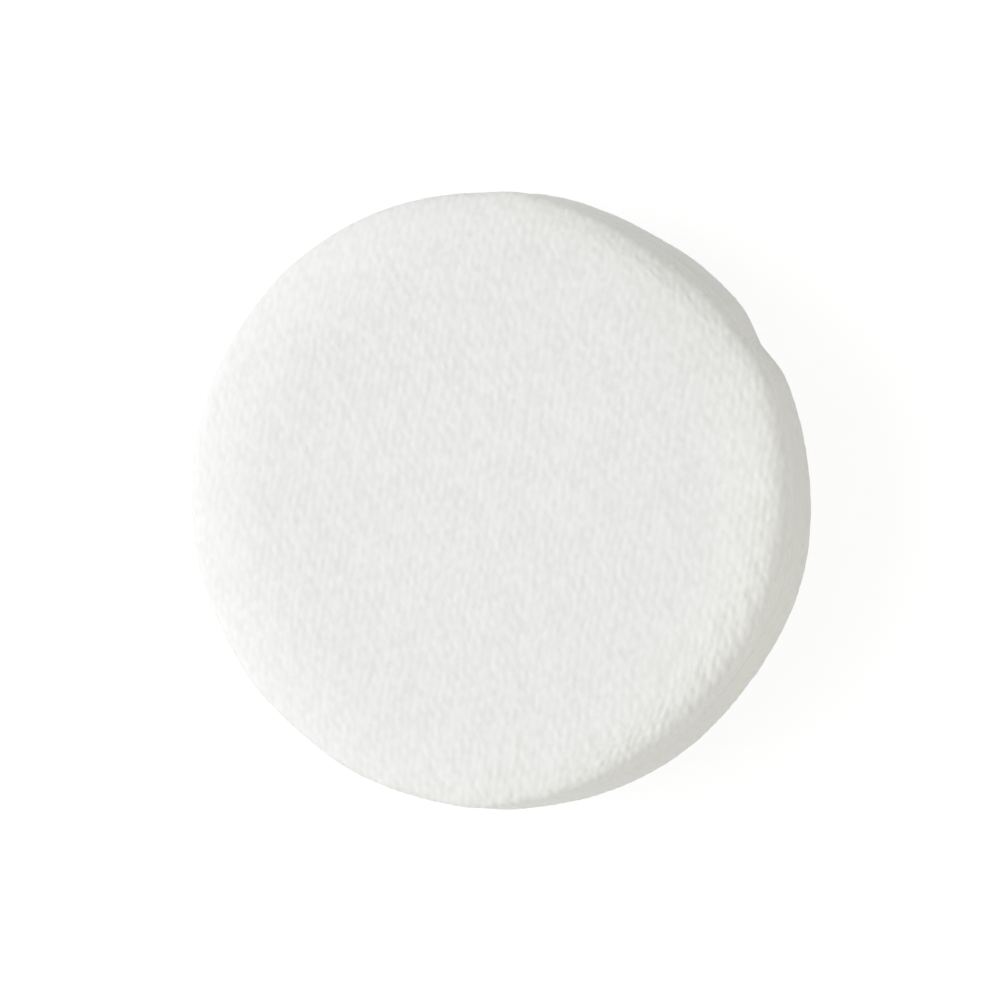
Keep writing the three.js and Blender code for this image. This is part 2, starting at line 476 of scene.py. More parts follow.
def walk(line: Array, share: Array) -> tuple[Array, Array, float]:
    """Walks along a line.

    Args:
        line: its points, as rows of two numbers.
        share: how far along, from 0 to 1.

    Returns:
        The two numbers at each share, and the line's whole length.
    """
    walked = np.concatenate([[0.0], np.cumsum(np.hypot(*np.diff(line, axis=0).T))])
    place = share * walked[-1]
    first = np.interp(place, walked, line[:, 0])
    second = np.interp(place, walked, line[:, 1])
    return first, second, float(walked[-1])


@dataclass(frozen=True)
class Lumps:
    """A layer of smooth noise on a plane, the same each time for a seed.

    The width and length are a lump's, and the depth is the most that it stands out.
    """

    seed: int
    depth: float
    width: float
    length: float
    size: int = 256

    def at(self, x: Array, y: Array, seed: int = 0) -> Array:
        """Returns the layer's height.

        Args:
            x: place across.
            y: place along.
            seed: what is added to the layer's seed.

        Returns:
            The height at each place.
        """
        rng = np.random.default_rng(self.seed + seed)
        table = rng.uniform(-1.0, 1.0, (self.size, self.size))
        x = x / self.width
        y = y / self.length
        column = np.floor(x).astype(int)
        row = np.floor(y).astype(int)
        across = smooth_step(x - column, 0.0, 1.0)
        up = smooth_step(y - row, 0.0, 1.0)

        def corner(right: int, top: int) -> Array:
            """Returns the table's number at one corner of each place's square."""
            return table[(column + right) % self.size, (row + top) % self.size]

        low = corner(0, 0) * (1 - across) + corner(1, 0) * across
        high = corner(0, 1) * (1 - across) + corner(1, 1) * across
        return self.depth * (low * (1 - up) + high * up)


@dataclass(frozen=True)
class PuffShape:
    """The sewn form that all the pieces share, in millimetres from the middle of the seam.

    A row of `slumps`, `leans` or `rim_dents` is a place that gave way: its middle and width in
    degrees, and its depth.
    """

    radius: float = 35.0
    half_thickness: float = 7.0
    ring_height: float = 4.0
    crown_power: float = 6.0
    roll_power: float = 3.0
    seam_inset: float = 1.8
    seam_height: float = 12.5
    velour: float = 1.8
    allowance_width: float = 4.5
    allowance_thickness: float = 0.9
    allowance_gap: float = 0.25
    oval_bulge: float = 0.36
    oval_angle: float = math.radians(119.5)
    valley: float = math.radians(50.0)
    pile_closes: float = 1.0
    waver: float = 0.12
    wavers: tuple[Lumps, ...] = (Lumps(5, 1.0, 4.5, 1.0), Lumps(6, 0.5, 1.7, 1.0))
    waver_reach: float = 1.8
    swell: float = 0.12
    stitch_reach: float = 1.5
    ribbon_pull: float = 0.6
    pull_reach: Span = (4.2, 4.8)
    pull_bend: Span = (0.6, 0.4)
    pull_on_front: float = 0.25
    pull_start: float = 24.0
    ribbon_side: Span = (6.0, 9.0)
    ribbon_start: Span = (20.0, 24.0)
    slump_reach: Span = (25.0, 34.3)
    lean_reach: Span = (30.5, 34.6)
    slumps: Places = (
        (8.0, 18.0, 0.7), (52.0, 26.0, 1.0), (160.0, 36.0, 0.5), (330.0, 22.0, -0.3),
    )
    leans: Places = (
        (13.0, 16.0, 0.6), (30.0, 22.0, 1.05), (50.0, 11.0, 0.4),
        (318.0, 16.0, 0.5), (298.0, 12.0, 0.3), (274.0, 20.0, 0.95),
    )
    rim_reach: Span = (26.0, 34.0)
    rim_dents: Places = (
        (30.0, 8.0, 0.25), (48.0, 5.0, -0.22), (54.5, 4.5, -0.38), (68.0, 12.0, 0.24),
        (102.0, 5.0, -0.1), (174.0, 4.0, 0.22), (197.0, 10.0, 0.24), (204.0, 4.0, 0.1),
        (240.0, 6.0, -0.08), (290.0, 20.0, 0.06), (237.0, 7.0, -0.16), (291.0, 11.0, 0.26),
        (317.0, 8.0, -0.16), (336.0, 8.0, 0.08),
    )

    @property
    def crease(self) -> float:
        """Radius of the seam."""
        return self.radius - self.seam_inset

    @property
    def lip(self) -> float:
        """Radius at which the pile of the two covers closes over the seam."""
        return self.crease + self.pile_closes

    def near_ribbon(self, points: Array) -> Array:
        """Returns how much of the ribbon's pull reaches each point.

        Args:
            points: places on the round form.

        Returns:
            Shares from 0 to 1.
        """
        below, above = self.pull_reach
        straight, curved = self.pull_bend
        reach = np.where(points[:, 1] * np.sign(points[:, 0]) < 0.0, below, above)
        beside = np.clip(1.0 - np.abs(points[:, 1]) / reach, 0.0, 1.0)
        bent = straight * beside + curved * beside * beside * (3.0 - 2.0 * beside)
        on_front = smooth_step(points[:, 2], 0.0, self.ring_height)
        on_side = 1.0 - (1.0 - self.pull_on_front) * on_front
        return bent * on_side * smooth_step(np.abs(points[:, 0]), self.pull_start, self.crease)

    def swollen(self, points: Array) -> Array:
        """Returns how far the filling may press the cloth out, none of it under the ribbon."""
        at_seam = 1.0 - smooth_step(np.abs(points[:, 2]), 0.0, self.stitch_reach)
        return self.swell * (1.0 - self.near_ribbon(points)) * (1.0 - at_seam)

    def beside_ribbon(self, points: Array) -> Array:
        """Returns 1 at the ribbon's ends and close beside them, and 0 away from them."""
        beside = 1.0 - smooth_step(np.abs(points[:, 1]), *self.ribbon_side)
        return beside * smooth_step(np.abs(points[:, 0]), *self.ribbon_start)

    def wavering(self, points: Array) -> Array:
        """Returns how far the pile at the seam wavers up or down, none of it at the ribbon.

        Args:
            points: places on the sewn form.

        Returns:
            The height that each point gains.
        """
        around = polar(points)[1] * self.crease
        wander = sum(layer.at(around, np.zeros_like(around)) for layer in self.wavers)
        at_seam = 1.0 - smooth_step(np.abs(points[:, 2]), 0.0, self.waver_reach)
        return self.waver * wander * at_seam * (1.0 - self.near_ribbon(points))

    def worn(self, points: Array, places: Places, reach: Span) -> Array:
        """Returns how far the form has given way at each point.

        Args:
            points: places on the round form.
            places: the places that gave way.
            reach: the radius at which it starts, and the radius of its full depth.

        Returns:
            The depth at each point.
        """
        distance, angle = polar(points)
        total = np.zeros(len(points))
        for middle, width, depth in places:
            away = (np.degrees(angle) - middle + 180.0) % 360.0 - 180.0
            total += depth * np.exp(-((away / width) ** 2))
        return total * smooth_step(distance, *reach)

    def settle(self, points: Array) -> Array:
        """Moves points by the ribbon's pull, the oval, the rim's dents, the leans and the slumps.

        Args:
            points: places on the round form.

        Returns:
            The same places on the sewn form.
        """
        distance, angle = polar(points)
        oval = self.oval_bulge / self.radius * np.cos(2.0 * (angle - self.oval_angle))
        on_front = np.clip(points[:, 2] / self.ring_height, 0.0, 1.0)
        dents = self.worn(points, self.rim_dents, self.rim_reach)
        pull = self.ribbon_pull * self.near_ribbon(points) + dents
        pull += on_front * self.worn(points, self.leans, self.lean_reach)
        scale = 1.0 + oval - pull / np.maximum(distance, 1e-6)
        settled = points * np.stack([scale, scale, np.ones_like(scale)], axis=1)
        settled[:, 2] -= on_front * self.worn(points, self.slumps, self.slump_reach)
        return settled

    def side_turn(self, ring: Span, end: Span, steps: int) -> Array:
        """Returns the turn from a widest ring down and in to an end, where it still slopes.

        Args:
            ring: radius and height of the ring.
            end: radius and height of the end.
            steps: number of stretches.

        Returns:
            Points of (radius, height), with both ends.
        """
        turn = np.linspace(0.0, self.valley, steps + 1)
        out = (np.cos(turn) - math.cos(self.valley)) / (1.0 - math.cos(self.valley))
        down = np.sin(turn) / math.sin(self.valley)
        radius = end[0] + (ring[0] - end[0]) * out
        return np.stack([radius, ring[1] - (ring[1] - end[1]) * down], axis=1)

    def section(self, crown: float, ring: Span, end: Span, steps: tuple[int, int]) -> Array:
        """Returns the roll of a face into its side and the side's turn to an end.

        Args:
            crown: height of the middle.
            ring: radius and height of the widest ring.
            end: radius and height of the end.
            steps: number of stretches in the roll and in the turn.

        Returns:
            Points of (radius, height), from the middle to the end.
        """
        share = np.sin(np.linspace(0.0, math.pi / 2, steps[0] + 1))
        rise = (1.0 - share**self.crown_power) ** (1.0 / self.roll_power)
        roll = np.stack([ring[0] * share, ring[1] + (crown - ring[1]) * rise], axis=1)
        return np.concatenate([roll, self.side_turn(ring, end, steps[1])[1:]])


@dataclass(frozen=True)
class Pile:
    """Tufts of the pile over the flat cloth, with longer locks on the shoulder.

    The locks stand most where the pile is ruffled, on the side that `lock_side` names.
    """

    seed: int
    lean: float = Velour.lean
    shifts: tuple[Lumps, Lumps] = (Lumps(0, 0.3, 5.0, 5.0), Lumps(1, 0.3, 5.0, 5.0))
    loop: Span = (1.18, 1.46)
    loop_depth: float = 0.42
    loop_shares: tuple[float, float, float] = (0.42, 0.32, 0.16)
    tufts: tuple[Lumps, ...] = (Lumps(2, 0.5, 0.55, 0.85), Lumps(3, 0.25, 0.34, 0.5))
    grains: tuple[Lumps, ...] = (Lumps(6, 0.36, 0.62, 0.62), Lumps(4, 0.08, 3.5, 3.5))
    depth: float = 0.041
    at_seam: float = 0.35
    standing_height: Span = (1.0, 4.0)
    shoulder_radius: Span = (28.0, 33.0)
    shoulder_height: Span = (2.0, 4.5)
    locks: tuple[Lumps, ...] = (Lumps(5, 1.0, 1.1, 1.5), Lumps(7, 1.0, 2.4, 3.0))
    lock_depth: float = 0.055
    lock_side: float = math.radians(-68.0)
    lock_focus: float = 1.5
    lock_shares: Span = (0.1, 0.9)
    ruffled_gain: float = 0.9
    smooth_loss: float = 0.4

    def height(self, places: Array) -> Array:
        """Returns how high the tufts stand.

        Args:
            places: millimetres on the flat cloth, a row to a vertex.

        Returns:
            Heights from about -1 to 1.
        """
        x, y = places[:, 0], places[:, 1]
        u = x + self.shifts[0].at(x, y, self.seed)
        v = y + self.shifts[1].at(x, y, self.seed)
        column = u / self.loop[0]
        row = v / self.loop[1]
        waves = zip(self.loop_shares, (column - row, column, row))
        height = self.loop_depth * sum(share * np.cos(math.tau * wave) for share, wave in waves)
        along = u * math.cos(self.lean) + v * math.sin(self.lean)
        across = v * math.cos(self.lean) - u * math.sin(self.lean)
        for layer in self.tufts:
            height += layer.at(across, along, self.seed)
        for layer in self.grains:
            height += layer.at(u, v, self.seed)
        return height

    def standing(self, points: Array) -> Array:
        """Returns how much of its height the pile has, least at the seam, where it is pressed."""
        up = smooth_step(np.abs(points[:, 2]), *self.standing_height)
        return self.at_seam + (1.0 - self.at_seam) * up

    def rise(self, height: Array, places: Array, points: Array) -> Array:
        """Returns how far the pile stands out.

        Args:
            height: heights of the tufts, from about -1 to 1.
            places: millimetres on the flat cloth, a row to a vertex.
            points: the same vertices on the puff, from the middle of the seam.

        Returns:
            The rise at each vertex.
        """
        radius, angle = polar(points)
        up = smooth_step(np.abs(points[:, 2]), *self.shoulder_height)
        shoulder = smooth_step(radius, *self.shoulder_radius) * up
        locks = sum(layer.at(places[:, 0], places[:, 1], self.seed) for layer in self.locks)
        ruffled = (0.5 + 0.5 * np.cos(angle - self.lock_side)) ** self.lock_focus
        least, more = self.lock_shares
        rise = self.depth * height * self.standing(points)
        rise *= 1.0 + shoulder * (self.ruffled_gain * ruffled - self.smooth_loss)
        return rise + self.lock_depth * locks * shoulder * (least + more * ruffled)


# Workshop


def select_none() -> None:
    """Leaves edit mode and deselects everything."""
    if bpy.context.mode != "OBJECT":
        bpy.ops.object.mode_set(mode="OBJECT")
    bpy.ops.object.select_all(action="DESELECT")


def select_only(piece: Piece) -> None:
    """Makes one object the selected and active one.

    Args:
        piece: the object.
    """
    select_none()
    piece.select_set(True)
    bpy.context.view_layer.objects.active = piece


def add_mesh(operator: Callable[..., object], name: str, **sizes: object) -> Piece:
    """Adds an object that one of the mesh operators makes.

    Args:
        operator: the operator.
        name: name of the new object and its mesh.
        **sizes: what the operator takes.

    Returns:
        The new object.
    """
    select_none()
    operator(**sizes)
    piece = bpy.context.active_object
    piece.name = name
    piece.data.name = name
    return piece


def read(items: bpy.types.bpy_prop_collection, key: str, width: int, kind: type = float) -> Array:
    """Reads one property of a mesh's items.

    Args:
        items: vertices, edges or other items of a mesh.
        key: the property.
        width: its count of numbers.
        kind: the numbers' type.

    Returns:
        The numbers, a row to an item.
    """
    numbers = np.empty(len(items) * width, dtype=kind)
    items.foreach_get(key, numbers)
    return numbers.reshape(-1, width)


def points_of(piece: Piece) -> Array:
    """Returns an object's vertices as rows of x, y and z."""
    return read(piece.data.vertices, "co", 3)


def move_points(piece: Piece, points: Array) -> None:
    """Writes an object's vertices."""
    piece.data.vertices.foreach_set("co", points.ravel())
    piece.data.update()


def normals_of(piece: Piece) -> Array:
    """Returns an object's vertex normals as rows of x, y and z."""
    return read(piece.data.vertex_normals, "vector", 3)


def corners_of(piece: Piece) -> Array:
    """Returns the vertex at each corner of an object's faces."""
    return read(piece.data.loops, "vertex_index", 1, np.int32).ravel()


def map_cloth(piece: Piece, places: Array) -> None:
    """Keeps each vertex's place on the flat cloth, in millimetres both ways, in a UV map."""
    layer = piece.data.uv_layers.new(name="cloth")
    layer.data.foreach_set("uv", (places[corners_of(piece)] / UV_SPAN + 0.5).ravel())


def cloth_places(piece: Piece) -> Array:
    """Reads back what `map_cloth` kept.

    Args:
        piece: the object.

    Returns:
        Millimetres both ways, a row to a vertex.
    """
    places = np.zeros((len(piece.data.vertices), 2))
    uv = read(piece.data.uv_layers["cloth"].data, "uv", 2)
    places[corners_of(piece)] = (uv - 0.5) * UV_SPAN
    return places


def round_cloth(name: str, rings: int) -> Piece:
    """Adds a flat round of cloth, as a grid whose square rings are laid out as circles.

    Args:
        name: name of the new object.
        rings: rings of faces.

    Returns:
        The new object. Its vertices lie within a circle of radius 1.
    """
    sizes = {"x_subdivisions": 2 * rings, "y_subdivisions": 2 * rings, "size": 2.0}
    piece = add_mesh(bpy.ops.mesh.primitive_grid_add, name, **sizes)
    x, y, _ = points_of(piece).T
    distance = np.maximum(np.abs(x), np.abs(y))
    with np.errstate(divide="ignore", invalid="ignore"):
        first = np.where(x != 0, y / x, 0.0) * math.pi / 4
        second = math.pi / 2 - np.where(y != 0, x / y, 0.0) * math.pi / 4
    first = first + np.where(x < 0, math.pi, 0.0)
    second = second + np.where(y < 0, math.pi, 0.0)
    angle = np.where(np.abs(x) >= np.abs(y), first, second)
    flat = [distance * np.cos(angle), distance * np.sin(angle), np.zeros_like(x)]
    move_points(piece, np.stack(flat, axis=1))
    return piece


def apply_modifier(piece: Piece, kind: str, **settings: object) -> None:
    """Adds a modifier and applies it.

    Args:
        piece: the object.
        kind: the modifier's type.
        **settings: what is set on it.
    """
    select_only(piece)
    modifier = piece.modifiers.new(kind, kind)
    configure(modifier, **settings)
    bpy.ops.object.modifier_apply(modifier=modifier.name)


def face_outwards(piece: Piece) -> None:
    """Merges doubles and turns all faces outwards.

    Args:
        piece: the object.
    """
    select_only(piece)
    bpy.ops.object.mode_set(mode="EDIT")
    bpy.ops.mesh.select_all(action="SELECT")
    bpy.ops.mesh.remove_doubles(threshold=1e-6)
    bpy.ops.mesh.normals_make_consistent(inside=False)
    bpy.ops.object.mode_set(mode="OBJECT")


def coat(piece: Piece, material: Material) -> None:
    """Gives an object one material."""
    piece.data.materials.clear()
    piece.data.materials.append(material)


def dress(piece: Piece, material: Material) -> None:
    """Finishes a piece.

    Args:
        piece: the object.
        material: its material.
    """
    select_only(piece)
    bpy.ops.object.shade_smooth()
    coat(piece, material)
    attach(piece, ROOT)


# Covers


@dataclass
class Cover:
    """One velour cover, with its edge turned in at the seam."""

    name: str
    node: str
    side: Side
    shape: PuffShape
    pile: Pile
    rings: int = 58
    lining_rings: int = 24
    lap_inset: float = 0.6
    crease_gap: float = 0.005
    stitch: float = 3.8
    held_share: float = 0.16
    fill_frames: int = 20
    evening: int = 6
    least_fill: float = 0.8
    fill_height: Span = (2.0, 4.5)
    press: float = 0.28
    press_half_width: float = 4.6
    press_edge: float = 0.5
    press_fade: Span = (1.0, 2.4)
    press_flattens: float = 0.9
    shade_depth: float = 0.4
    sim_scale: float = 10.0
    outline: Array = field(init=False)

    def __post_init__(self) -> None:
        """Works out the section from the middle of the face to the seam."""
        shape = self.shape
        ring = (shape.radius, shape.ring_height)
        end = (shape.lip, self.crease_gap)
        self.outline = shape.section(shape.half_thickness, ring, end, steps=(400, 80))

    def wrapped(self, name: str, rings: int, outline: Array) -> Piece:
        """Lays a round of cloth over a section.

        Args:
            name: name of the new object.
            rings: rings of faces in the round.
            outline: points of (radius, height).

        Returns:
            The new object, in millimetres from the middle of the seam.
        """
        piece = round_cloth(name, rings)
        flat = points_of(piece)
        share = np.clip(polar(flat)[0], 0.0, 1.0)
        radius, height, length = walk(outline, share)
        direction = flat[:, :2] / np.maximum(share, 1e-9)[:, None]
        points = np.concatenate([direction * radius[:, None], height[:, None]], axis=1)
        map_cloth(piece, direction * (share * length)[:, None])
        move_points(piece, self.shape.settle(points * [1, 1, self.side.value]))
        return piece

    def stitched(self, points: Array) -> Array:
        """Returns which vertices the seam's stitches hold.

        Args:
            points: the vertices.

        Returns:
            Their numbers.
        """
        rim = np.flatnonzero(np.abs(points[:, 2]) < self.crease_gap + 1e-3)
        around = polar(points[rim])[1] * self.shape.crease
        nearest = np.abs((around + self.stitch / 2) % self.stitch - self.stitch / 2)
        return rim[nearest < self.stitch * self.held_share]

    def fill(self, piece: Piece) -> None:
        """Runs the cloth under pressure, with its stitches held, and applies it.

        Args:
            piece: the cover, at the scale of the simulation.
        """
        modifier = piece.modifiers.new("fill", "CLOTH")
        configure(
            modifier.settings, quality=6, mass=0.4, tension_stiffness=25.0,
            compression_stiffness=25.0, shear_stiffness=10.0, bending_stiffness=1.0,
            vertex_group_mass="stitches", use_pressure=True, uniform_pressure_force=2.0,
        )
        modifier.settings.effector_weights.gravity = 0.0
        configure(modifier.point_cache, frame_start=1, frame_end=self.fill_frames)
        for frame in range(1, self.fill_frames + 1):
            bpy.context.scene.frame_set(frame)
        select_only(piece)
        bpy.ops.object.modifier_apply(modifier=modifier.name)
        bpy.context.scene.frame_set(1)

    def evened(self, piece: Piece, rise: Array) -> Array:
        """Evens a measure out over a mesh.

        Args:
            piece: the object.
            rise: the measure, a number to a vertex.

        Returns:
            The evened measure.
        """
        pairs = read(piece.data.edges, "vertices", 2, np.int32)
        here, there = np.concatenate([pairs, pairs[:, ::-1]]).T
        neighbours = np.bincount(here, minlength=len(rise))
        for _ in range(self.evening):
            around = np.bincount(here, weights=rise[there], minlength=len(rise)) / neighbours
            rise = 0.5 * rise + 0.5 * around
        return rise

    def inflate(self, piece: Piece) -> None:
        """Lets the filling press the cloth out between its stitches, as far as it may.

        Args:
            piece: the cover before it is filled.
        """
        start = points_of(piece)
        outwards = normals_of(piece) * self.side.value
        group = piece.vertex_groups.new(name="stitches")
        group.add(self.stitched(start).tolist(), 1.0, "REPLACE")
        move_points(piece, start * MM * self.sim_scale)
        self.fill(piece)
        moved = points_of(piece) / (MM * self.sim_scale) - start
        rise = np.sum(moved * outwards, axis=1)
        LOG.info("%s swells by up to %.2f mm before the cap", self.name, rise.max())
        rise = self.evened(piece, rise)
        allowed = self.shape.swollen(start)
        high = self.least_fill * smooth_step(np.abs(start[:, 2]), *self.fill_height)
        full = np.maximum(high, self.shape.beside_ribbon(start))
        moved = outwards * np.clip(rise, full * allowed, allowed)[:, None]
        move_points(piece, start + moved)
        piece.vertex_groups.clear()

    def raise_pile(self, piece: Piece) -> None:
        """Raises the tufts of the pile out of the fine mesh, and keeps their height for the painted shade in
        the pile's hollows.

        Args:
            piece: the filled cover, finely divided.
        """
        places = cloth_places(piece)
        points = points_of(piece)
        height = self.pile.height(places)
        pressed = self.pressed(points)
        rise = self.pile.rise(height, places, points)
        rise = rise * (1.0 - self.press_flattens * pressed) - self.press * pressed
        raised = points + normals_of(piece) * rise[:, None]
        raised[:, 2] += self.shape.wavering(points)
        move_points(piece, raised)
        shade = height * self.pile.standing(points) * self.shade_depth + 0.5
        attribute = piece.data.attributes.new("pile", "FLOAT", "POINT")
        attribute.data.foreach_set("value", np.clip(shade, 0.0, 1.0))

    def pressed(self, points: Array) -> Array:
        """Returns where the ribbon presses the pile of the back's side down.

        Args:
            points: the vertices.

        Returns:
            Shares from 0 to 1.
        """
        if self.side is Side.FRONT:
            return np.zeros(len(points))
        edge = (self.press_half_width, self.press_half_width + self.press_edge)
        fade = [self.shape.ring_height + below for below in self.press_fade]
        across = 1.0 - smooth_step(np.abs(points[:, 1]), *edge)
        down = 1.0 - smooth_step(-points[:, 2], *fade)
        return across * down * (np.abs(points[:, 0]) > self.shape.pull_start)

    def lining_outline(self) -> Array:
        """Returns the section of the inside.

        Returns:
            Points from its middle to the seam, by way of the turned-in edge.
        """
        shape = self.shape
        crown = shape.half_thickness - shape.velour
        ring = (shape.radius - shape.velour, shape.ring_height)
        gap = shape.allowance_gap
        back = gap + shape.allowance_thickness
        fold = shape.crease - (shape.velour + shape.allowance_thickness) / 2
        edge = shape.crease - shape.allowance_width
        lap = [[edge, back], [edge, gap], [shape.crease - self.lap_inset, gap]]
        return np.concatenate([shape.section(crown, ring, (fold, back), steps=(60, 20)), lap])

    def make(self, material: Material) -> Piece:
        """Builds the cover.

        Args:
            material: the velour.

        Returns:
            The finished piece.
        """
        piece = self.wrapped(self.name, self.rings, self.outline)
        self.inflate(piece)
        apply_modifier(piece, "SUBSURF", levels=2, render_levels=2)
        if self.side is Side.BACK:
            piece.data.flip_normals()
        self.raise_pile(piece)
        lining = self.wrapped("lining", self.lining_rings, self.lining_outline())
        if self.side is Side.FRONT:
            lining.data.flip_normals()
        apply_modifier(lining, "SUBSURF", levels=1, render_levels=1)
        select_only(piece)
        lining.select_set(True)
        bpy.ops.object.join()
        self.close_seam(piece)
        move_points(piece, (points_of(piece) + [0, 0, self.shape.seam_height]) * MM)
        dress(piece, material)
        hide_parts(self.node)
        return piece

    def close_seam(self, piece: Piece) -> None:
        """Joins the pile side to the turned-in edge along the seam.

        Args:
            piece: the cover with its lining.
        """
        select_only(piece)
        bpy.ops.object.mode_set(mode="EDIT")
        bpy.ops.mesh.select_mode(type="EDGE")
        bpy.ops.mesh.select_all(action="DESELECT")
        bpy.ops.mesh.select_non_manifold(extend=False, use_wire=False, use_multi_face=False, use_verts=False)
        bpy.ops.mesh.bridge_edge_loops()
        bpy.ops.object.mode_set(mode="OBJECT")


# Filling


@dataclass
class FoamCore:
    """The foam disc, with a groove in its rim for the seam."""

    shape: PuffShape
    clearance: float = 0.3
    groove_room: float = 0.8
    segments: int = 128
    rings: int = 96

    def outline(self) -> Array:
        """Works out the section.

        Returns:
            Points of (radius, height) from the top of the axis to its foot.
        """
        shape = self.shape
        crown = shape.half_thickness - shape.velour - self.clearance
        ring = (shape.radius - shape.velour - self.clearance, shape.ring_height - self.clearance)
        back = shape.allowance_gap + shape.allowance_thickness
        lip = back + self.groove_room
        fold = shape.crease - (shape.velour + shape.allowance_thickness) / 2 - self.clearance / 2
        centre = shape.crease - shape.allowance_width - self.clearance + lip / 2
        groove = np.linspace(math.pi / 2, math.pi, 9)
        hollow = np.stack([centre + lip * np.cos(groove), lip * np.sin(groove)], axis=1)
        upper = shape.section(crown, ring, (fold, lip), steps=(60, 12))
        upper = np.concatenate([upper, hollow])
        return np.concatenate([upper, (upper * [1, -1])[::-1][1:]])

    def make(self, material: Material) -> Piece:
        """Builds the foam.

        Args:
            material: the foam's finish.

        Returns:
            The finished piece.
        """
        sizes = {"segments": self.segments, "ring_count": self.rings, "radius": 1.0}
        piece = add_mesh(bpy.ops.mesh.primitive_uv_sphere_add, "foam_filling", **sizes)
        ball = points_of(piece)
        share = np.arccos(np.clip(ball[:, 2], -1.0, 1.0)) / math.pi
        radius, height, _ = walk(self.outline(), share)
        angle = polar(ball)[1]
        points = np.stack([radius * np.cos(angle), radius * np.sin(angle), height], axis=1)
        settled = self.shape.settle(points)
        move_points(piece, (settled + [0, 0, self.shape.seam_height]) * MM)
        face_outwards(piece)
        dress(piece, material)
        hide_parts("foam_core")
        return piece


# Ribbon


@dataclass
class FingerRibbon:
    """Satin ribbon under the back, with its ends caught in the seam."""

    shape: PuffShape
    width: float = 10.0
    thickness: float = 0.22
    sink: float = 0.15
    sink_at_seam: float = 1.2
    tail_inset: float = 0.2
    tail_bend: Span = (0.8, 0.06)
    finger_gap: float = 5.2
    flat_length: float = 28.0
    solid_thickness: float = 0.3
    steps: int = 420
    strips: int = 16
    cup: float = 0.3
    skew: float = 0.35
    crisp_edge: float = math.radians(40.0)

    def half_line(self) -> Array:
        """Works out the middle line of the right half.

        Returns:
            Points of (x, height), from its end in the seam to the middle.
        """
        shape = self.shape
        outside = shape.radius - self.sink
        low = -(shape.half_thickness + self.finger_gap + self.solid_thickness - self.thickness / 2)
        flat_end = self.flat_length / 2
        end = shape.crease - shape.allowance_width + self.tail_inset
        tail = [[end, 0.0], [shape.crease - self.tail_bend[0], -self.tail_bend[1]]]
        lip = (shape.lip - self.sink, self.sink_at_seam * self.sink)
        over = shape.side_turn((outside, shape.ring_height), lip, steps=40)
        turn = np.linspace(0.0, math.pi / 2, 90)
        x = flat_end + (outside - flat_end) * np.cos(turn)
        hanging = np.stack([x, -shape.ring_height + (low + shape.ring_height) * np.sin(turn)], axis=1)
        return np.concatenate([tail, over[::-1] * [1, -1], hanging[1:], [[0.0, low]]])

    def make(self, material: Material) -> Piece:
        """Builds the ribbon.

        Args:
            material: the satin.

        Returns:
            The finished piece.
        """
        sizes = {"x_subdivisions": self.steps, "y_subdivisions": self.strips, "size": 1.0}
        piece = add_mesh(bpy.ops.mesh.primitive_grid_add, "satin_ribbon", **sizes)
        flat = points_of(piece)
        half = self.half_line()
        share = flat[:, 0] + 0.5
        x, z, length = walk(np.concatenate([half, (half * [-1, 1])[::-1][1:]]), share)
        y = flat[:, 1] * self.width
        shape = self.shape
        wrap = smooth_step(np.abs(x), shape.pull_start, shape.crease)
        x = x - np.sign(x) * wrap * y * y / (2.0 * shape.radius)
        out = (np.abs(x) - self.flat_length / 2) / (shape.radius - self.flat_length / 2)
        hanging = np.sin(math.pi * np.clip(out, 0.0, 1.0)) ** 2
        z = z + self.cup * hanging * (2.0 * y / self.width) ** 2
        y = y + self.skew * np.sin(math.pi * np.clip(x / shape.pull_start, -1.0, 1.0))
        x = x + np.sign(x) * wrap * shape.swollen(np.stack([x, y, z], axis=1))
        points = shape.settle(np.stack([x, y, z], axis=1))
        map_cloth(piece, np.stack([share * length - length / 2, y], axis=1))
        move_points(piece, (points + [0, 0, shape.seam_height]) * MM)
        apply_modifier(piece, "SOLIDIFY", thickness=self.thickness * MM, offset=0.0, use_even_offset=True)
        face_outwards(piece)
        dress(piece, material)
        bpy.ops.object.shade_smooth_by_angle(angle=self.crisp_edge)
        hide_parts("finger_ribbon")
        return piece


# Studio


@dataclass(frozen=True)
class Lamp:
    """One square soft lamp that faces the puff, in degrees, watts and metres."""

    name: str
    bearing: float
    elevation: float
    power: float
    colour: tuple[float, float, float]
    side: float = 0.9
    distance: float = 1.2


